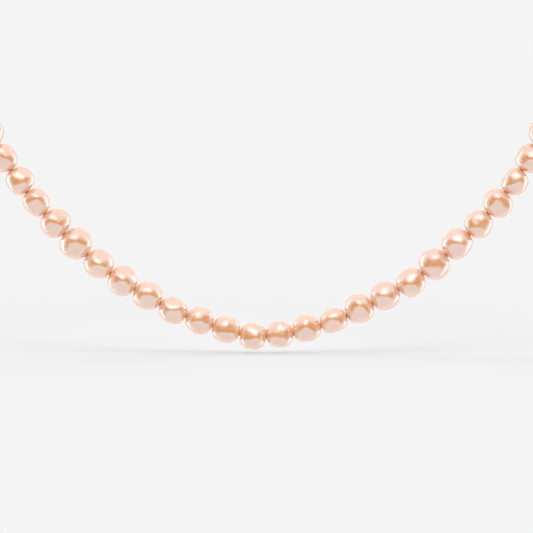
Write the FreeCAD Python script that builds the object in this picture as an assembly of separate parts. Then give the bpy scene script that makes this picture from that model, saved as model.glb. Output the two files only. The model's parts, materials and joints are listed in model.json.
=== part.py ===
"""Single-strand pearl necklace, hanging as worn, with a lobster clasp at the nape.

Millimetres, +Z up. The origin is the centre of the clasp at the nape; the front of the
strand hangs in a vertical plane in front of it (towards -Y). Pearls are strung on silk
with a knot between every two, so each knot is a hinge and each pearl turns on its thread.
"""
import FreeCAD
import Part
import math
import os

# ---------------------------------------------------------------- driving dimensions
FRONT_Y = -84.0            # vertical plane of the front drape
BOTTOM_Z = -96.0           # centre knot at the bottom of the drape
NAPE_X = 11.2              # last knot on each side of the clasp

DRAPE_KINK = 0.19          # slope the thread takes within a pearl of the centre knot, radians
DRAPE_KINK_LENGTH = 5.9    # arc length over which it takes that slope
DRAPE_RADIUS = 90.0        # radius of the rest of the front curve
SIDE_HANDLE = 40.0         # how far the strand keeps its heading where it leaves the front
NAPE_HANDLE = 50.0         # how far it runs straight out from the clasp

BACK_PEARLS = 20           # pearls on each side behind the front drape
BACK_GROUP = 5             # pearls in one back node

PEARL_GAP = 0.30           # space between two neighbouring pearls on the thread
PEARL_END_R = 0.75         # blunt end of a pearl, around its drill hole
BORE_R = 0.40
KNOT_R = 0.50
KNOT_SEAT_R = 0.60         # hollow at the mouth of the drill hole that the knot sits in
THREAD_R = 0.30
THREAD_CLEARANCE = 0.04    # between a thread's end and the knot below it

# length of thread taken by each front pearl, from the centre knot upwards
FRONT_PITCH = [6.2, 6.5, 6.4, 6.6, 6.7, 6.7, 6.8, 7.1, 6.4, 6.4, 6.2, 6.5, 6.6]
# (widest diameter, place of the widest section along the pearl, front-to-back ratio)
LEFT_PEARLS = [
    (6.6, 0.50, 0.98), (6.2, 0.53, 0.96), (6.7, 0.47, 0.99), (6.1, 0.45, 1.03), (6.7, 0.55, 0.97),
    (6.9, 0.50, 0.96), (6.7, 0.46, 0.99), (7.5, 0.54, 0.95), (7.1, 0.48, 0.97), (6.2, 0.56, 1.02),
    (6.6, 0.44, 0.98), (6.4, 0.50, 1.00), (6.6, 0.52, 0.97),
]
RIGHT_PEARLS = [
    (6.2, 0.51, 1.00), (6.6, 0.47, 0.97), (6.0, 0.56, 1.04), (7.0, 0.54, 0.96), (6.9, 0.50, 0.98),
    (6.7, 0.46, 0.98), (7.5, 0.47, 0.96), (7.2, 0.54, 0.97), (6.5, 0.44, 1.01), (6.9, 0.55, 0.95),
    (6.1, 0.50, 1.02), (6.9, 0.48, 0.97), (6.6, 0.51, 0.98),
]
BACK_SHAPES = [
    (6.5, 0.50, 0.98), (6.8, 0.46, 0.97), (6.3, 0.54, 1.00),
    (6.7, 0.52, 0.96), (6.1, 0.48, 1.02), (6.9, 0.45, 0.98),
]

LINK_GAP = 0.05            # running clearance between two linked rings
GIMP_R = 1.25              # loop of coiled wire that protects the silk at each end
GIMP_WIRE_R = 0.45
JUMP_RING_R = 1.70
JUMP_RING_WIRE_R = 0.35
END_RING_R = 2.10
END_RING_WIRE_R = 0.40
EYE_R = 1.15               # eye at the clasp's tail
EYE_WIRE_R = 0.40
NOSE_X = 2.80              # centre of the clasp's curved nose
NOSE_R = 1.75
NOSE_BAR_R = 0.60
CLAW_LENGTH = 3.60         # straight back of the claw
CLASP_BLOCK_R = 1.90
BLOCK_RIM_R = 0.35
CLASP_BLOCK_OFFSET = 3.90  # block centre behind the nose centre
CLASP_BLOCK_Z = 0.10
CLASP_THICKNESS = 2.00
EAR_SLOT = 1.20            # slot in the block that the lever swings in
PIVOT_OFFSET = 3.20        # lever pivot behind the nose centre
PIVOT_Z = -1.50
PIN_R = 0.30
EAR_R = 0.77
LEVER_HUB_R = 0.62
LEVER_BAR_R = 0.42
LEVER_TAB_R = 0.38
LEVER_WIDTH = 0.80
SPRING_COIL_R = 0.45
SPRING_WIRE_R = 0.04

UP = FreeCAD.Vector(0, 0, 1)
ACROSS = FreeCAD.Vector(0, 1, 0)
ORIGIN = FreeCAD.Vector(0, 0, 0)


def vec(x, y, z):
    return FreeCAD.Vector(x, y, z)


def mirrored(point):
    return vec(-point.x, point.y, point.z)


# ---------------------------------------------------------------- line of the thread
def front_knots():
    """Knots up the right half of the drape, the centre knot first."""
    knots = [vec(0, FRONT_Y, BOTTOM_Z)]
    arc = 0.0
    for pitch in FRONT_PITCH:
        middle = arc + pitch / 2
        heading = DRAPE_KINK * math.tanh(middle / DRAPE_KINK_LENGTH) + middle / DRAPE_RADIUS
        step = vec(pitch * math.cos(heading), 0, pitch * math.sin(heading))
        knots.append(knots[-1] + step)
        arc += pitch
    return knots


def back_knots(front):
    """Equally spaced knots from the top of the drape round the neck to the nape."""
    start = front[-1]
    end = vec(NAPE_X, 0, 0)
    leaving = (front[-1] - front[-2]).normalize()
    poles = [start, start + leaving * SIDE_HANDLE, end + vec(NAPE_HANDLE, 0, 0), end]
    curve = Part.BezierCurve()
    curve.setPoles(poles)
    return curve.discretize(BACK_PEARLS + 1)


# ---------------------------------------------------------------- pearls
def pearl(pitch, shape):
    """One drilled pearl on +Z, between knots at 0 and at pitch."""
    diameter, widest_at, depth_ratio = shape
    length = pitch - PEARL_GAP
    below = length * widest_at
    widest_z = PEARL_GAP / 2 + below
    reach = diameter / 2 - PEARL_END_R
    outline = []
    for degrees in range(-90, 91, 15):
        angle = math.radians(degrees)
        half = below if degrees < 0 else length - below
        outline.append(vec(PEARL_END_R + reach * math.cos(angle), 0, widest_z + half * math.sin(angle)))
    curve = Part.BSplineCurve()
    curve.interpolate(outline, InitialTangent=vec(1, 0, 0), FinalTangent=vec(-1, 0, 0))
    foot = vec(0, 0, outline[0].z)
    head = vec(0, 0, outline[-1].z)
    edges = [
        Part.makeLine(foot, outline[0]),
        curve.toShape(),
        Part.makeLine(outline[-1], head),
        Part.makeLine(head, foot),
    ]
    solid = Part.Face(Part.Wire(edges)).revolve(ORIGIN, UP, 360)
    squash = FreeCAD.Matrix()
    squash.scale(1, depth_ratio, 1)
    solid = solid.transformGeometry(squash)
    bore = Part.makeCylinder(BORE_R, pitch)
    seats = [Part.makeSphere(KNOT_SEAT_R, vec(0, 0, z)) for z in (0, pitch)]
    return solid.cut(bore.multiFuse(seats))


def along(shape, start, end):
    """Move a shape built on +Z onto the line from start to end, its own Y kept level."""
    heading = (end - start).normalize()
    level = heading.cross(UP).normalize()
    shape = shape.copy()
    shape.Placement = FreeCAD.Placement(start, FreeCAD.Rotation(level.cross(heading), level, heading, "ZYX"))
    return shape


def pearl_between(start, end, shape):
    return along(pearl((end - start).Length, shape), start, end)


# ---------------------------------------------------------------- silk
def thread(start, end, trim=0.0):
    heading = (end - start).normalize()
    first = start + heading * trim
    return Part.makeCylinder(THREAD_R, (end - first).Length, first, heading)


def knot(point, heading):
    return Part.makeSphere(KNOT_R, point, heading)


def strung(start, end, trim=0.0):
    """Thread from start to end with a knot at its far end."""
    return thread(start, end, trim).fuse(knot(end, end - start))


def drape_silk(level, right, left):
    """The two threads that carry one pair of pearls, each with the knot it hangs by."""
    if level == 1:
        centre_knot = knot(right[0], vec(1, 0, 0))
        return centre_knot.fuse(strung(right[0], right[1])).fuse(strung(left[0], left[1]))
    trim = KNOT_R + THREAD_CLEARANCE
    return Part.makeCompound([strung(side[level - 1], side[level], trim) for side in (right, left)])


def back_silk(knots, gimp):
    """Thread and knots of one side of the back, up to the wire loop at the clasp."""
    silk = strung(knots[0], knots[1], KNOT_R + THREAD_CLEARANCE)
    for start, end in zip(knots[1:-1], knots[2:]):
        silk = silk.fuse(strung(start, end))
    loop = vec(gimp.BoundBox.Center.x, 0, 0)
    return silk.fuse(thread(knots[-1], (knots[-1] + loop) * 0.5)).cut(gimp)


# ---------------------------------------------------------------- clasp
def ring(centre_x, radius, wire_r, axis):
    return Part.makeTorus(radius, wire_r, vec(centre_x, 0, 0), axis)


def linked_to_the_right(centre_x, radius, wire_r, next_radius, next_wire_r):
    """Centre of the ring linked through the right-hand side of a ring."""
    return centre_x + radius + next_radius - wire_r - next_wire_r - LINK_GAP


def linked_to_the_left(centre_x, radius, wire_r, next_radius, next_wire_r):
    return centre_x - radius - next_radius + wire_r + next_wire_r + LINK_GAP


def ear_slot():
    """Space in the clasp's block for the lever."""
    left = NOSE_X - PIVOT_OFFSET - 1.2
    right = NOSE_X - CLASP_BLOCK_OFFSET + CLASP_BLOCK_R + 0.1
    box = Part.makeBox(right - left, EAR_SLOT, 4.0, vec(left, -EAR_SLOT / 2, -3.2))
    return box


def clasp_block():
    """Round block of the clasp, its rims eased."""
    corner = vec(NOSE_X - CLASP_BLOCK_OFFSET, -CLASP_THICKNESS / 2, CLASP_BLOCK_Z)
    block = Part.makeCylinder(CLASP_BLOCK_R, CLASP_THICKNESS, corner, ACROSS)
    rims = [edge for edge in block.Edges if len(edge.Vertexes) == 1]
    return block.makeFillet(BLOCK_RIM_R, rims).Solids[0]


def clasp_claw():
    """Straight back of the claw and the curved nose that turns back to meet the lever."""
    nose = Part.makeTorus(NOSE_R, NOSE_BAR_R, ORIGIN, UP, -180, 180, 180)
    nose.rotate(ORIGIN, vec(1, 0, 0), 90)
    nose.rotate(ORIGIN, ACROSS, 90)
    nose.translate(vec(NOSE_X, 0, 0))
    root = vec(NOSE_X - CLAW_LENGTH, 0, NOSE_R)
    bar = Part.makeCylinder(NOSE_BAR_R, CLAW_LENGTH, root, vec(1, 0, 0))
    return bar.fuse(nose).fuse(Part.makeSphere(NOSE_BAR_R, root))


def clasp_body(eye_x):
    """Claw, block with two ears for the lever, and tail eye, as one casting."""
    pivot = vec(NOSE_X - PIVOT_OFFSET, -CLASP_THICKNESS / 2, PIVOT_Z)
    ears = Part.makeCylinder(EAR_R, CLASP_THICKNESS, pivot, ACROSS)
    body = clasp_block().fuse(clasp_claw()).fuse(ears).cut(ear_slot())
    body = body.fuse(ring(eye_x, EYE_R, EYE_WIRE_R, ACROSS))
    return body.cut(pin_hole(PIN_R)).removeSplitter()


def pin_hole(radius):
    start = vec(NOSE_X - PIVOT_OFFSET, -CLASP_THICKNESS, PIVOT_Z)
    return Part.makeCylinder(radius, 2 * CLASP_THICKNESS, start, ACROSS)


def lever_pin():
    start = vec(NOSE_X - PIVOT_OFFSET, -CLASP_THICKNESS / 2, PIVOT_Z)
    return Part.makeCylinder(PIN_R, CLASP_THICKNESS, start, ACROSS)


def clasp_lever():
    """Gate that closes the claw, with a hub on the pin and a thumb tab outside."""
    pivot = vec(NOSE_X - PIVOT_OFFSET, 0, PIVOT_Z)
    hub = Part.makeCylinder(LEVER_HUB_R, LEVER_WIDTH, pivot - ACROSS * (LEVER_WIDTH / 2), ACROSS)
    tip = vec(NOSE_X - 2 * LINK_GAP, 0, -NOSE_R)
    gate = Part.makeCylinder(LEVER_BAR_R, (tip - pivot).Length, pivot, tip - pivot)
    tab_end = pivot + vec(-0.25, 0, -1.45)
    tab = Part.makeCylinder(LEVER_TAB_R, (tab_end - pivot).Length, pivot, tab_end - pivot)
    knob = Part.makeSphere(LEVER_TAB_R + 0.12, tab_end)
    width = Part.makeBox(12, LEVER_WIDTH, 12, pivot - vec(6, LEVER_WIDTH / 2, 6))
    lever = hub.fuse(gate).fuse(tab).fuse(knob).common(width)
    return lever.cut(pin_hole(PIN_R + 0.03)).removeSplitter()


def lever_spring():
    """Two turns of fine wire round the pin, between the lever's hub and one ear."""
    turns = []
    for turn in range(2):
        y = EAR_SLOT / 2 - SPRING_WIRE_R * (1 + 2 * turn)
        centre = vec(NOSE_X - PIVOT_OFFSET, y, PIVOT_Z)
        turns.append(Part.makeTorus(SPRING_COIL_R, SPRING_WIRE_R, centre, ACROSS))
    return turns


# ---------------------------------------------------------------- whole necklace
def front_nodes(right, left):
    nodes = {}
    for level in range(1, len(right)):
        for side, knots, shapes in (("left", left, LEFT_PEARLS), ("right", right, RIGHT_PEARLS)):
            solid = pearl_between(knots[level - 1], knots[level], shapes[level - 1])
            nodes["pearl_%s_%02d" % (side, level)] = solid
        nodes["silk_drape_%02d" % level] = drape_silk(level, right, left)
    return nodes


def back_nodes(side, knots, gimp):
    nodes = {"silk_back_%s" % side: back_silk(knots, gimp)}
    for group in range(BACK_PEARLS // BACK_GROUP):
        solids = []
        for index in range(group * BACK_GROUP, (group + 1) * BACK_GROUP):
            shape = BACK_SHAPES[index % len(BACK_SHAPES)]
            solids.append(pearl_between(knots[index], knots[index + 1], shape))
        nodes["pearls_back_%s_%d" % (side, group + 1)] = Part.makeCompound(solids)
    return nodes


def clasp_nodes():
    eye_x = NOSE_X - CLASP_BLOCK_OFFSET - CLASP_BLOCK_R - EYE_R + 0.25
    jump_x = linked_to_the_left(eye_x, EYE_R, EYE_WIRE_R, JUMP_RING_R, JUMP_RING_WIRE_R)
    left_x = linked_to_the_left(jump_x, JUMP_RING_R, JUMP_RING_WIRE_R, GIMP_R, GIMP_WIRE_R)
    end_x = linked_to_the_right(NOSE_X, NOSE_R, NOSE_BAR_R, END_RING_R, END_RING_WIRE_R)
    right_x = linked_to_the_right(end_x, END_RING_R, END_RING_WIRE_R, GIMP_R, GIMP_WIRE_R)
    return {
        "clasp_body": clasp_body(eye_x),
        "clasp_lever": clasp_lever(),
        "lever_pin": lever_pin(),
        "lever_spring": Part.makeCompound(lever_spring()),
        "jump_ring": ring(jump_x, JUMP_RING_R, JUMP_RING_WIRE_R, UP),
        "end_ring": ring(end_x, END_RING_R, END_RING_WIRE_R, UP),
        "gimp_left": ring(left_x, GIMP_R, GIMP_WIRE_R, ACROSS),
        "gimp_right": ring(right_x, GIMP_R, GIMP_WIRE_R, ACROSS),
    }


def build():
    right_front = front_knots()
    right_back = back_knots(right_front)
    left_front = [mirrored(point) for point in right_front]
    left_back = [mirrored(point) for point in right_back]
    nodes = front_nodes(right_front, left_front)
    nodes.update(clasp_nodes())
    nodes.update(back_nodes("right", right_back, nodes["gimp_right"]))
    nodes.update(back_nodes("left", left_back, nodes["gimp_left"]))
    return nodes


os.makedirs("parts", exist_ok=True)
for name, shape in sorted(build().items()):
    shape.exportStep("parts/%s.step" % name)
    print(name, round(shape.Volume, 2), shape.isValid(), len(shape.Solids))
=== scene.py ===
"""Pearl necklace on a white studio floor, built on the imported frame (metres, +Z up)."""
import json
import math

import bmesh
import bpy
import numpy as np
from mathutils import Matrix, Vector, noise


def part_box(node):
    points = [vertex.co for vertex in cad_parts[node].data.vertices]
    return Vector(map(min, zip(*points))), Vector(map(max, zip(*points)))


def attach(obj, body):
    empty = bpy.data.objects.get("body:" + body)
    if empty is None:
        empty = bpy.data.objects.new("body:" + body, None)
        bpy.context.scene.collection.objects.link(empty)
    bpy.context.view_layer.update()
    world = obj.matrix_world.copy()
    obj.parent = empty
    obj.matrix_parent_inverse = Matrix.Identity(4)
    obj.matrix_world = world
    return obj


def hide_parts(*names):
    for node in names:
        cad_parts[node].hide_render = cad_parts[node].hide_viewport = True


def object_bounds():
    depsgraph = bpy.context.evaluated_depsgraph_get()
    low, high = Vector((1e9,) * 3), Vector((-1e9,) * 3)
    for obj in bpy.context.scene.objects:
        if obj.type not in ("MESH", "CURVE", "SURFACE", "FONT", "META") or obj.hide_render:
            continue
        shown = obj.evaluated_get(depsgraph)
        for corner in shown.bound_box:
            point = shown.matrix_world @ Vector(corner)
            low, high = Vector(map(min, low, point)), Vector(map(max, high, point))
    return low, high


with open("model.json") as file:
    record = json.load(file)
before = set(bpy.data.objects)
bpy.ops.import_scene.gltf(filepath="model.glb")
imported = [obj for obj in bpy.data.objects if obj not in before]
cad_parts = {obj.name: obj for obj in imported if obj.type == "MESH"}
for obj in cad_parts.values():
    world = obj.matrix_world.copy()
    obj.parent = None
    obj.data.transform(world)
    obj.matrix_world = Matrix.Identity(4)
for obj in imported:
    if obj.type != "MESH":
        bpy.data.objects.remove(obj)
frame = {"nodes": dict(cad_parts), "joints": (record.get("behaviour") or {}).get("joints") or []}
cad_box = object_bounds()

MM = 0.001
UP = Vector((0, 0, 1))
FRONT_PAIRS = 13
BACK_GROUPS = 4

# pearls
PEARL_GAP = 0.30 * MM          # between neighbouring pearls' drilled ends on the thread
SKIN_REACH = 0.06 * MM         # how far the nacre bulges past each drilled end
BEND_REACH = -0.07 * MM        # the same where drape meets back: these pearls stop short instead
BLUNT_END_R = 0.75 * MM        # flat of a pearl round its drill hole
RIM_R = 0.58 * MM              # mouth of the drill hole
BORE_R = 0.40 * MM
SEAT_DEPTH = 0.32 * MM         # how far the mouth narrows into the bore
AROUND = 72                    # mesh columns round a pearl
ALONG_STEP = 4                 # degrees between two rows of its outline
LUMP = 0.12                    # size of a pearl's slow lumps, as a share of its radius
RIPPLE = 0.006                 # size of its finer ripples
GROOVE = 0.006                 # depth of the growth grooves round it
GROOVE_WIDTH = 0.10            # width of a groove, as a share of half the pearl's length
GROOVES = 2                    # grooves on each pearl
GROOVE_TILT = 0.22             # slope of the grooves across a pearl
GROOVE_WAVER = 0.15            # how far they wander from that slope
LUMP_SCALE = 1.1               # scale of the noise that shapes the lumps
RIPPLE_SCALE = 3.7
WAVER_SCALE = 0.8
SKIN_SHRINK = 0.015            # share of its radius a pearl is drawn in, to make room for lumps
MOUTH_LIP = 0.04               # width of the lip round the drill hole, share of the radius
# how far each front pearl stands off the thread, mm towards the inside of the drape
OFF_CENTRE = {
    "left": (-0.28, 0.05, 0.20, -0.20, 0.25, 0.00, 0.10, 0.35, 0.40, 0.35, 0.30, 0.00, 0.10),
    "right": (0.20, 0.40, 0.10, 0.35, 0.25, -0.30, 0.00, 0.25, 0.00, -0.20, -0.30, -0.30, 0.10),
}

# silk
THREAD_R = 0.30 * MM
PLIES = 3
PLY_TWIST = 2.4 / MM           # turn of the plies along the thread, radians per metre
PLY_DEPTH = 0.16               # depth of the grooves between plies, share of the thread's radius
THREAD_STEP = 0.15 * MM        # length of thread between two rings of its mesh
KNOT_LOOP_R = 0.26 * MM        # line of the thread inside a knot
KNOT_THREAD_R = 0.20 * MM
KNOT_CLEAR_R = 0.54 * MM       # a thread starts this far from the knot below it
KNOT_SWELL = 0.35              # how far the knot's lobes reach out, share of its line's radius
KNOT_LIFT = 0.62               # height of its crossings, share of that radius
KNOT_STEPS = 60
LOOP_THREAD_R = 0.75 * THREAD_R  # thread squeezed into a wire loop

# metal
COIL_TURNS = 42                # turns of the wire loops at the clasp
COIL_WIRE_R = 0.09 * MM
COIL_STEPS = 12                # points of the wire's path in one turn
SPRING_TURNS = 2.5
SPRING_STEPS = 100
SPRING_WIRE_R = 0.035 * MM
SHARP_EDGE = 40                # degrees between faces from which a casting's edge is sharp


# ---------------------------------------------------------------- meshes
def new_mesh(name, points, faces, attributes=()):
    mesh = bpy.data.meshes.new(name)
    mesh.from_pydata([tuple(p) for p in points], [], faces)
    mesh.shade_smooth()
    for attribute, values in attributes:
        layer = mesh.attributes.new(attribute, "FLOAT", "POINT")
        layer.data.foreach_set("value", values)
    return mesh


def add_piece(name, mesh, material, body, slot, *nodes):
    piece = bpy.data.objects.new(name, mesh)
    bpy.context.scene.collection.objects.link(piece)
    mesh.materials.append(material)
    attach(piece, body)
    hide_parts(*nodes)
    return piece


def grid_faces(rows, columns, close_rows):
    """Quads of a grid that closes round its columns, and round its rows if asked."""
    faces = []
    for row in range(rows if close_rows else rows - 1):
        here = row * columns
        above = ((row + 1) % rows) * columns
        for column in range(columns):
            beside = (column + 1) % columns
            faces.append((here + column, here + beside, above + beside, above + column))
    return faces


class Shape:
    """Vertices and faces of one piece, gathered part by part."""

    def __init__(self):
        self.points = []
        self.faces = []

    def add(self, points, faces):
        first = len(self.points)
        self.points += points
        self.faces += [tuple(first + index for index in face) for face in faces]

    def tube(self, path, radius_at, sides=12, closed=False):
        """Tube along a path; radius_at takes the distance along it and the angle round it."""
        count = len(path)
        points = []
        travelled = 0.0
        normal = None
        for index, point in enumerate(path):
            ahead = path[(index + 1) % count if closed else min(index + 1, count - 1)]
            behind = path[index - 1 if closed else max(index - 1, 0)]
            tangent = (ahead - behind).normalized()
            if normal is None:
                normal = tangent.orthogonal().normalized()
            normal = (normal - tangent * normal.dot(tangent)).normalized()
            side = tangent.cross(normal)
            for step in range(sides):
                angle = 2 * math.pi * step / sides
                radius = radius_at(travelled, angle)
                across, beside = radius * math.cos(angle), radius * math.sin(angle)
                points.append(point + normal * across + side * beside)
            travelled += (ahead - point).length
        faces = grid_faces(count, sides, closed)
        if not closed:
            faces.append(tuple(reversed(range(sides))))
            faces.append(tuple(range((count - 1) * sides, count * sides)))
        self.add(points, faces)


# ---------------------------------------------------------------- reading the frame
class Strung:
    """A pearl's place on the thread, measured on its CAD solid."""

    def __init__(self, centre, axis, points, off_centre=0.0, reach=SKIN_REACH):
        self.axis = axis
        self.off_centre = off_centre
        self.reach = reach
        self.level = axis.cross(UP).normalized()
        self.rise = self.level.cross(axis)
        offsets = np.array([tuple(p) for p in points]) - np.array(centre)
        along = offsets @ np.array(axis)
        upward = offsets @ np.array(self.rise)
        across = offsets @ np.array(self.level)
        self.half = (along.max() - along.min()) / 2
        self.centre = centre + axis * float((along.max() + along.min()) / 2)
        self.rise_r = (upward.max() - upward.min()) / 2
        self.level_r = (across.max() - across.min()) / 2
        widest = along[np.argmax(np.hypot(upward, across))]
        self.widest = float(widest - (along.max() + along.min()) / 2)

    def knot(self, end):
        return self.centre + self.axis * ((self.half + PEARL_GAP / 2) * end)


def islands(obj):
    """The separate solids of a CAD node, as lists of points."""
    mesh = bmesh.new()
    mesh.from_mesh(obj.data)
    bmesh.ops.remove_doubles(mesh, verts=mesh.verts, dist=1e-6)
    found = []
    waiting = set(mesh.verts)
    while waiting:
        stack = [waiting.pop()]
        island = []
        while stack:
            vert = stack.pop()
            island.append(vert.co.copy())
            for edge in vert.link_edges:
                other = edge.other_vert(vert)
                if other in waiting:
                    waiting.remove(other)
                    stack.append(other)
        found.append(island)
    mesh.free()
    return found


def middle(points):
    low = Vector(map(min, zip(*points)))
    high = Vector(map(max, zip(*points)))
    return (low + high) / 2


def front_pearls(side):
    joints = {joint["name"]: joint for joint in frame["joints"]}
    pearls = []
    for number in range(1, FRONT_PAIRS + 1):
        name = "%s_%02d" % (side, number)
        joint = joints["pearl_spin_" + name]
        points = [v.co for v in frame["nodes"]["pearl_" + name].data.vertices]
        off_centre = OFF_CENTRE[side][number - 1] * MM
        reach = BEND_REACH if number == FRONT_PAIRS else SKIN_REACH
        pearls.append(Strung(Vector(joint["pos_m"]), Vector(joint["axis"]), points, off_centre, reach))
    return pearls


def back_pearls(side, last_front):
    """Pearls of each back node in turn, followed from the top of the drape to the nape."""
    groups = []
    chain = [last_front.centre]
    for group in range(1, BACK_GROUPS + 1):
        loose = islands(frame["nodes"]["pearls_back_%s_%d" % (side, group)])
        ordered = []
        while loose:
            nearest = min(loose, key=lambda points: (middle(points) - chain[-1]).length)
            loose.remove(nearest)
            ordered.append(nearest)
            chain.append(middle(nearest))
        groups.append(ordered)
    low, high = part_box("gimp_" + side)
    chain.append((low + high) / 2)
    strung = []
    index = 1
    for ordered in groups:
        members = []
        for points in ordered:
            axis = (chain[index + 1] - chain[index - 1]).normalized()
            reach = BEND_REACH if index == 1 else SKIN_REACH
            members.append(Strung(chain[index], axis, points, reach=reach))
            index += 1
        strung.append(members)
    return strung


# ---------------------------------------------------------------- pearls
def outline(pearl):
    """(radius share, distance along, freedom of the skin) up one pearl and back down its bore.

    The mouth of the bore stays at the CAD pearl's end, or moves in with a skin that stops short.
    """
    rows = []
    reach = 1 - BLUNT_END_R / pearl.rise_r
    for degrees in range(-90, 91, ALONG_STEP):
        angle = math.radians(degrees)
        half = pearl.half + pearl.reach + (pearl.widest if degrees < 0 else -pearl.widest)
        radius = (1 - reach) + reach * math.cos(angle)
        rows.append((radius, pearl.widest + half * math.sin(angle), math.cos(angle)))
    rim, bore = RIM_R / pearl.rise_r, BORE_R / pearl.rise_r
    end = pearl.half + min(pearl.reach, 0.0)
    mouth = [
        (rim + MOUTH_LIP, end, 0), (rim, end - 0.10 * SEAT_DEPTH, 0),
        ((rim + bore) / 2, end - 0.55 * SEAT_DEPTH, 0), (bore, end - SEAT_DEPTH, 0),
    ]
    rows += mouth
    rows += [(radius, -along, free) for radius, along, free in reversed(mouth)]
    return rows


def skin_offset(pearl, seed, direction, along):
    """How far a pearl's skin stands off its smooth form, as a share of its radius."""
    place = direction + Vector((seed * 7.31, seed * 3.17, seed * 5.93))
    lumps = noise.noise(place * LUMP_SCALE) * LUMP
    ripples = noise.noise(place * RIPPLE_SCALE) * RIPPLE
    tilt = GROOVE_TILT * direction.x + GROOVE_WAVER * noise.noise(place * WAVER_SCALE)
    grooves = 0.0
    for groove in range(GROOVES):
        position = noise.cell(Vector((seed * 1.7 + groove * 9.1, 0.5, 0.5))) * 1.5 - 0.75
        distance = (along / pearl.half - position - tilt) / GROOVE_WIDTH
        grooves += GROOVE * math.exp(-distance * distance)
    return lumps + ripples - grooves - SKIN_SHRINK


def pearl_points(pearl, seed):
    points, shares = [], []
    for radius, along, free in outline(pearl):
        for column in range(AROUND):
            angle = 2 * math.pi * column / AROUND
            direction = Vector((math.cos(angle), math.sin(angle), along / pearl.half))
            share = radius
            if free > 0:
                share *= 1 + skin_offset(pearl, seed, direction, along) * free
            rise = pearl.rise * (share * pearl.rise_r * math.cos(angle) + pearl.off_centre * free)
            level = pearl.level * (share * pearl.level_r * math.sin(angle))
            points.append(pearl.centre + pearl.axis * along + rise + level)
            shares.append(abs(along) / pearl.half)
    return points, shares


def make_pearls(name, body, pearls, first_seed, material):
    shape = Shape()
    ends, tints = [], []
    for offset, pearl in enumerate(pearls):
        seed = first_seed + offset
        points, shares = pearl_points(pearl, seed)
        rows = len(points) // AROUND
        shape.add(points, grid_faces(rows, AROUND, True))
        ends += shares
        tints += [noise.cell(Vector((seed * 3.3, 1.5, 2.5)))] * len(points)
    mesh = new_mesh(name + "_skin", shape.points, shape.faces, [("end_share", ends), ("tint", tints)])
    return add_piece(name + "_skin", mesh, material, body, "pearl", name)


# ---------------------------------------------------------------- silk
def ply_radius(travelled, angle):
    ridge = abs(math.cos((angle - travelled * PLY_TWIST) * PLIES / 2))
    return THREAD_R * (1 - PLY_DEPTH + PLY_DEPTH * ridge)


def add_thread(shape, start, end, trim=0.0):
    heading = (end - start).normalized()
    first = start + heading * trim
    length = (end - first).length
    steps = max(2, round(length / THREAD_STEP))
    path = [first + heading * (length * step / steps) for step in range(steps + 1)]
    shape.tube(path, ply_radius, sides=18)


def add_knot(shape, point, heading):
    """Overhand knot: the thread's own trefoil, drawn tight round the thread."""
    across = heading.orthogonal().normalized()
    beside = heading.cross(across)
    path = []
    for step in range(KNOT_STEPS):
        angle = 2 * math.pi * step / KNOT_STEPS
        out = KNOT_LOOP_R * (1 + KNOT_SWELL * math.cos(3 * angle))
        lift = KNOT_LIFT * KNOT_LOOP_R * math.sin(3 * angle)
        flat = across * math.cos(2 * angle) + beside * math.sin(2 * angle)
        path.append(point + flat * out + heading * lift)
    shape.tube(path, lambda travelled, angle: KNOT_THREAD_R, sides=10, closed=True)


def silk_of_drape(level, sides, material):
    shape = Shape()
    for pearls in sides:
        pearl = pearls[level - 1]
        trim = 0.0 if level == 1 else KNOT_CLEAR_R
        add_thread(shape, pearl.knot(-1), pearl.knot(1), trim)
        add_knot(shape, pearl.knot(1), pearl.axis)
    if level == 1:
        add_knot(shape, sides[0][0].knot(-1), Vector((1, 0, 0)))
    name = "silk_drape_%02d" % level
    mesh = new_mesh(name + "_cord", shape.points, shape.faces)
    add_piece(name + "_cord", mesh, material, "drape_%02d" % level, "silk", name)


def silk_of_back(side, last_front, pearls, material):
    shape = Shape()
    knots = [last_front.knot(1)]
    for lower, upper in zip(pearls, pearls[1:]):
        knots.append((lower.knot(1) + upper.knot(-1)) / 2)
    knots.append(pearls[-1].knot(1))
    add_thread(shape, knots[0], knots[1], KNOT_CLEAR_R)
    for start, end in zip(knots[1:], knots[2:]):
        add_thread(shape, start, end)
    for knot, pearl in zip(knots[1:], pearls):
        add_knot(shape, knot, pearl.axis)
    low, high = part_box("gimp_" + side)
    centre = (low + high) / 2
    loop_r = (high.x - low.x) / 2 - (high.y - low.y) / 2
    near = centre + (knots[-1] - centre).normalized() * loop_r
    add_thread(shape, knots[-1], near)
    turns = np.linspace(0, 2 * math.pi, 72, endpoint=False)
    loop = [centre + Vector((math.cos(turn), 0, math.sin(turn))) * loop_r for turn in turns]
    shape.tube(loop, lambda travelled, angle: LOOP_THREAD_R, sides=10, closed=True)
    name = "silk_back_" + side
    mesh = new_mesh(name + "_cord", shape.points, shape.faces)
    add_piece(name + "_cord", mesh, material, "necklace_back", "silk", name)


# ---------------------------------------------------------------- metal
def wire_loop(side, material):
    """French wire: a fine coil bent into the ring that protects the silk."""
    low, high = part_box("gimp_" + side)
    centre = (low + high) / 2
    tube_r = (high.y - low.y) / 2
    loop_r = (high.x - low.x) / 2 - tube_r
    coil_r = tube_r - COIL_WIRE_R
    steps = COIL_TURNS * COIL_STEPS
    path = []
    for step in range(steps):
        round_loop = 2 * math.pi * step / steps
        round_wire = round_loop * COIL_TURNS
        out = Vector((math.cos(round_loop), 0, math.sin(round_loop)))
        radius = loop_r + coil_r * math.cos(round_wire)
        path.append(centre + out * radius + Vector((0, coil_r * math.sin(round_wire), 0)))
    shape = Shape()
    shape.tube(path, lambda travelled, angle: COIL_WIRE_R, sides=8, closed=True)
    name = "gimp_" + side
    mesh = new_mesh(name + "_coil", shape.points, shape.faces)
    add_piece(name + "_coil", mesh, material, "necklace_back", "gold", name)


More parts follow.
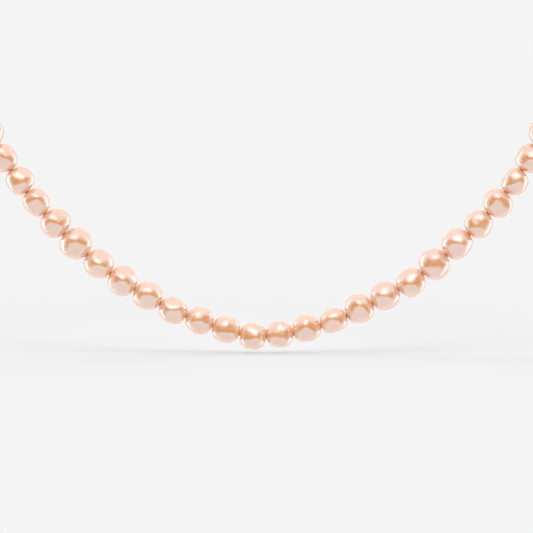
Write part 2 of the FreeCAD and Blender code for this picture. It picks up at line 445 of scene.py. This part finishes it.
def spring_coil(material):
    low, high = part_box("lever_spring")
    centre = (low + high) / 2
    radius = (high.x - low.x) / 2 - SPRING_WIRE_R
    width = high.y - low.y - 2 * SPRING_WIRE_R
    path = []
    for step in range(SPRING_STEPS + 1):
        share = step / SPRING_STEPS
        angle = 2 * math.pi * SPRING_TURNS * share
        place = Vector((radius * math.cos(angle), width * (share - 0.5), radius * math.sin(angle)))
        path.append(centre + place)
    shape = Shape()
    shape.tube(path, lambda travelled, angle: SPRING_WIRE_R, sides=8)
    mesh = new_mesh("lever_spring_coil", shape.points, shape.faces)
    add_piece("lever_spring_coil", mesh, material, "clasp", "spring_steel", "lever_spring")


def finish_castings(material):
    for name in ("clasp_body", "clasp_lever", "lever_pin", "jump_ring", "end_ring"):
        node = frame["nodes"][name]
        node.data.materials.clear()
        node.data.materials.append(material)
        node.data.shade_smooth()
        node.data.set_sharp_from_angle(angle=math.radians(SHARP_EDGE))


# ---------------------------------------------------------------- materials
NOISE_ROUGHNESS = 0.55


class Nodes:
    """A material's node tree, with short calls to add and link nodes."""

    def __init__(self, name):
        self.material = bpy.data.materials.new(name)
        self.material.use_nodes = True
        self.tree = self.material.node_tree
        self.shader = self.tree.nodes["Principled BSDF"]

    def add(self, kind, **values):
        node = self.tree.nodes.new(kind)
        for key, value in values.items():
            setattr(node, key, value)
        return node

    def link(self, out, into):
        self.tree.links.new(out, into)

    def set(self, values):
        for socket, value in values.items():
            self.shader.inputs[socket].default_value = value

    def noise(self, scale, detail):
        coordinates = self.add("ShaderNodeTexCoord")
        texture = self.add("ShaderNodeTexNoise")
        texture.inputs["Scale"].default_value = scale
        texture.inputs["Detail"].default_value = detail
        texture.inputs["Roughness"].default_value = NOISE_ROUGHNESS
        self.link(coordinates.outputs["Object"], texture.inputs["Vector"])
        return texture.outputs["Fac"]

    def attribute(self, name):
        return self.add("ShaderNodeAttribute", attribute_name=name).outputs["Fac"]

    def ramp(self, value, *stops):
        node = self.add("ShaderNodeValToRGB")
        elements = node.color_ramp.elements
        while len(elements) < len(stops):
            elements.new(0.5)
        for element, (position, colour) in zip(elements, stops):
            element.position = position
            element.color = (*colour, 1)
        self.link(value, node.inputs["Fac"])
        return node.outputs["Color"]

    def mix(self, share, first, second):
        node = self.add("ShaderNodeMix", data_type="RGBA")
        for socket, value in ((node.inputs[0], share), (node.inputs[6], first), (node.inputs[7], second)):
            if isinstance(value, (int, float)):
                socket.default_value = value
            elif isinstance(value, tuple):
                socket.default_value = (*value, 1)
            else:
                self.link(value, socket)
        return node.outputs[2]

    def range(self, value, low, high):
        node = self.add("ShaderNodeMapRange")
        node.inputs["To Min"].default_value = low
        node.inputs["To Max"].default_value = high
        self.link(value, node.inputs["Value"])
        return node.outputs["Result"]

    def bump(self, height, distance):
        node = self.add("ShaderNodeBump")
        node.inputs["Distance"].default_value = distance
        node.inputs["Strength"].default_value = 1.0
        self.link(height, node.inputs["Height"])
        self.link(node.outputs["Normal"], self.shader.inputs["Normal"])


def nacre():
    """Peach body under a strong mirror layer; an amber glow is painted at the holes, by emission and an
    amber base colour, in place of light through the thin skin.
    """
    nodes = Nodes("peach_nacre")
    clouds = nodes.noise(420, 3)
    body = nodes.ramp(clouds, (0.30, (0.82, 0.45, 0.25)), (0.70, (0.88, 0.52, 0.31)))
    pinker = nodes.mix(0.5, body, (0.86, 0.48, 0.34))
    tinted = nodes.mix(nodes.attribute("tint"), body, pinker)
    # painted glow: towards each drilled end the base colour turns amber and the skin gives off a faint
    # amber light
    painted_end_glow = nodes.ramp(nodes.attribute("end_share"), (0.86, (0, 0, 0)), (0.99, (1, 1, 1)))
    coloured = nodes.mix(painted_end_glow, tinted, (0.88, 0.50, 0.26))
    nodes.link(coloured, nodes.shader.inputs["Base Color"])
    nodes.link(nodes.range(painted_end_glow, 0.0, 0.10), nodes.shader.inputs["Emission Strength"])
    nodes.link(nodes.range(nodes.noise(900, 2), 0.13, 0.19), nodes.shader.inputs["Roughness"])
    nodes.set({
        "Emission Color": (1.0, 0.50, 0.24, 1), "IOR": 5.0, "Specular Tint": (0.86, 0.93, 1.0, 1),
        "Coat Weight": 0.4, "Coat Roughness": 0.04, "Coat IOR": 1.5,
        "Subsurface Weight": 1.0, "Subsurface Radius": (1.0, 0.5, 0.25), "Subsurface Scale": 0.0025,
    })
    nodes.bump(nodes.noise(1500, 3), 0.000006)
    return nodes.material


def silk():
    nodes = Nodes("amber_silk")
    fibre = nodes.noise(9000, 3)
    colour = nodes.ramp(fibre, (0.35, (0.84, 0.55, 0.34)), (0.65, (0.96, 0.72, 0.50)))
    nodes.link(colour, nodes.shader.inputs["Base Color"])
    nodes.set({"Roughness": 0.6, "Sheen Weight": 0.4})
    nodes.bump(fibre, 0.00003)
    return nodes.material


def polished_gold():
    nodes = Nodes("polished_gold")
    wear = nodes.noise(700, 4)
    colour = nodes.ramp(wear, (0.3, (0.60, 0.40, 0.16)), (0.7, (0.72, 0.50, 0.22)))
    nodes.link(colour, nodes.shader.inputs["Base Color"])
    nodes.link(nodes.range(nodes.noise(2600, 3), 0.14, 0.30), nodes.shader.inputs["Roughness"])
    nodes.set({"Metallic": 1.0})
    nodes.bump(nodes.noise(5200, 2), 0.000006)
    return nodes.material


def spring_steel():
    nodes = Nodes("spring_steel")
    grain = nodes.noise(6000, 2)
    colour = nodes.ramp(grain, (0.3, (0.42, 0.42, 0.43)), (0.7, (0.60, 0.60, 0.61)))
    nodes.link(colour, nodes.shader.inputs["Base Color"])
    nodes.link(nodes.range(grain, 0.25, 0.4), nodes.shader.inputs["Roughness"])
    nodes.set({"Metallic": 1.0})
    return nodes.material


# ---------------------------------------------------------------- stage
FLOOR_DROP = 0.8 * MM          # below the lowest pearl
FLOOR_SIZE = 0.8
PAPER = 0.905                  # brightness of the white ground, linear
FLOOR_ALBEDO = 0.48            # share of the light on the floor that it gives back
FLOOR_GLOW = (0.328, 0.364, 0.392)  # even brightness that makes up the rest, and takes no shadow
TENT = (1.18, 1.10, 1.04)      # white tent round the object, as the pearls reflect it
TENT_SPILL = 0.6               # share of the tent's brightness that lights matt surfaces
# oval patches of the tent: azimuth to the right of the camera and half width, elevation and
# half height (degrees), soft share of the edge, colour
PATCHES = [
    (180, 80, 0, 60, 0.5, (1.30, 1.16, 1.06)),      # warm backdrop
    (0, 78, 4, 46, 0.3, (0.70, 0.36, 0.13)),        # opening where the camera stands
    (0, 80, -60, 60, 0.08, (1.04, 1.02, 0.98)),     # table top
    (-3, 33, 46, 21, 0.8, (2.1, 2.05, 1.95)),       # softbox
    (-107, 14, -4, 42, 0.25, (2.1, 2.05, 2.0)),     # strip light on the left
    (107, 14, -4, 42, 0.25, (2.1, 2.05, 2.0)),      # strip light on the right
]
# lamps: azimuth, elevation, width in the sky (degrees), brightness on the floor
LAMPS = [
    ("front_lamp", 20, 64, 45, 0.25),
    ("back_lamp", -160, 58, 45, 0.17),
]
CAMERA_AWAY = 1.2              # from the drape
CAMERA_RISE = 4.5              # degrees the camera looks down
PICTURE_WIDTH = 122 * MM       # width of the drape's plane in the picture
PICTURE_CENTRE = 16.2 * MM     # height of the picture's centre above the lowest knot


def floor(lowest):
    bpy.ops.mesh.primitive_plane_add(size=FLOOR_SIZE, location=(0, 0, lowest - FLOOR_DROP))
    ground = bpy.context.object
    ground.name = "floor"
    nodes = Nodes("white_floor")
    grey = (FLOOR_ALBEDO, FLOOR_ALBEDO, FLOOR_ALBEDO, 1)
    nodes.set({
        "Base Color": grey, "Roughness": 0.9, "Specular IOR Level": 0.0,
        "Emission Color": (*FLOOR_GLOW, 1), "Emission Strength": 1.0,
    })
    ground.data.materials.append(nodes.material)
    ground.visible_glossy = False


class WorldNodes:
    """The studio's surroundings as nodes, with short calls for sums on numbers."""

    def __init__(self):
        world = bpy.data.worlds.new("studio")
        bpy.context.scene.world = world
        world.use_nodes = True
        self.tree = world.node_tree
        self.tree.nodes.clear()

    def add(self, kind, inputs=(), **values):
        node = self.tree.nodes.new(kind)
        for key, value in values.items():
            setattr(node, key, value)
        for socket, value in zip(node.inputs, inputs):
            if isinstance(value, bpy.types.NodeSocket):
                self.tree.links.new(value, socket)
            elif value is not None:
                socket.default_value = value
        return node

    def math(self, operation, *inputs):
        return self.add("ShaderNodeMath", inputs, operation=operation).outputs[0]

    def oval(self, across, half_width, upward, half_height, soft):
        """1 inside an oval round two angles, 0 outside, with a soft edge."""
        x = self.math("DIVIDE", across, math.radians(half_width))
        y = self.math("DIVIDE", upward, math.radians(half_height))
        out = self.math("SQRT", self.math("ADD", self.math("MULTIPLY", x, x), self.math("MULTIPLY", y, y)))
        inputs = (out, 1 - soft, 1 + soft, 1.0, 0.0)
        return self.add("ShaderNodeMapRange", inputs, interpolation_type="SMOOTHSTEP").outputs[0]

    def cover(self, under, share, colour):
        node = self.add("ShaderNodeMix", data_type="RGBA")
        self.tree.links.new(share, node.inputs[0])
        self.tree.links.new(under, node.inputs[6])
        node.inputs[7].default_value = (*colour, 1)
        return node.outputs[2]


def surroundings():
    """White tent with its patches in every reflection, and plain white ground for the camera."""
    nodes = WorldNodes()
    direction = nodes.add("ShaderNodeTexCoord").outputs["Generated"]
    x, y, z = nodes.add("ShaderNodeSeparateXYZ", (direction,)).outputs
    azimuth = nodes.math("ARCTAN2", x, nodes.math("MULTIPLY", y, -1.0))
    elevation = nodes.math("ARCSINE", z)
    colour = nodes.add("ShaderNodeCombineColor", TENT).outputs[0]
    for towards, half_width, height, half_height, soft, patch in PATCHES:
        turned = nodes.math("SUBTRACT", azimuth, math.radians(towards))
        across = nodes.math("WRAP", turned, math.pi, -math.pi)
        upward = nodes.math("SUBTRACT", elevation, math.radians(height))
        share = nodes.oval(across, half_width, upward, half_height, soft)
        colour = nodes.cover(colour, share, patch)
    path = nodes.add("ShaderNodeLightPath")
    strength = nodes.math("MULTIPLY_ADD", path.outputs["Is Diffuse Ray"], TENT_SPILL - 1, 1.0)
    reflected = nodes.add("ShaderNodeBackground", (colour, strength)).outputs[0]
    seen = nodes.add("ShaderNodeBackground", ((PAPER, PAPER, PAPER, 1),)).outputs[0]
    shown = nodes.add("ShaderNodeMixShader", (path.outputs["Is Camera Ray"], reflected, seen)).outputs[0]
    nodes.add("ShaderNodeOutputWorld", (shown,))


def lamp(name, azimuth, elevation, width, on_floor):
    """A distant lamp that lights and shadows matt surfaces; the tent alone makes the highlights."""
    a, e = math.radians(azimuth), math.radians(elevation)
    towards = Vector((math.sin(a) * math.cos(e), -math.cos(a) * math.cos(e), math.sin(e)))
    light = bpy.data.lights.new(name, "SUN")
    light.angle = math.radians(width)
    light.energy = on_floor * math.pi / math.sin(e)
    source = bpy.data.objects.new(name, light)
    source.visible_glossy = False
    bpy.context.scene.collection.objects.link(source)
    source.rotation_euler = towards.to_track_quat("Z", "Y").to_euler()


def camera(lowest_knot):
    data = bpy.data.cameras.new("camera")
    data.sensor_width = 36
    data.lens = data.sensor_width * CAMERA_AWAY / PICTURE_WIDTH
    data.clip_start = 0.05
    data.clip_end = 50
    eye = bpy.data.objects.new("camera", data)
    bpy.context.scene.collection.objects.link(eye)
    rise = math.radians(CAMERA_RISE)
    towards = Vector((0, -math.cos(rise), math.sin(rise)))
    eye.location = lowest_knot + UP * PICTURE_CENTRE + towards * CAMERA_AWAY
    eye.rotation_euler = (math.radians(90) - rise, 0, 0)
    bpy.context.scene.camera = eye


# ---------------------------------------------------------------- build
def build_necklace():
    pearl_skin, thread_skin = nacre(), silk()
    gold, steel = polished_gold(), spring_steel()
    sides = []
    seed = 1
    for side in ("left", "right"):
        front = front_pearls(side)
        sides.append(front)
        for number, pearl in enumerate(front, 1):
            name = "pearl_%s_%02d" % (side, number)
            make_pearls(name, name, [pearl], seed, pearl_skin)
            seed += 1
        groups = back_pearls(side, front[-1])
        for number, group in enumerate(groups, 1):
            name = "pearls_back_%s_%d" % (side, number)
            make_pearls(name, "necklace_back", group, seed, pearl_skin)
            seed += len(group)
        silk_of_back(side, front[-1], [pearl for group in groups for pearl in group], thread_skin)
        wire_loop(side, gold)
    for level in range(1, FRONT_PAIRS + 1):
        silk_of_drape(level, sides, thread_skin)
    spring_coil(steel)
    finish_castings(gold)
    return sides[0][0].knot(-1)


def build_studio(lowest_knot):
    floor(cad_box[0].z)
    surroundings()
    for settings in LAMPS:
        lamp(*settings)
    camera(lowest_knot)
    scene = bpy.context.scene
    scene.view_settings.view_transform = "Standard"
    scene.view_settings.look = "None"


lowest_knot = build_necklace()
build_studio(lowest_knot)
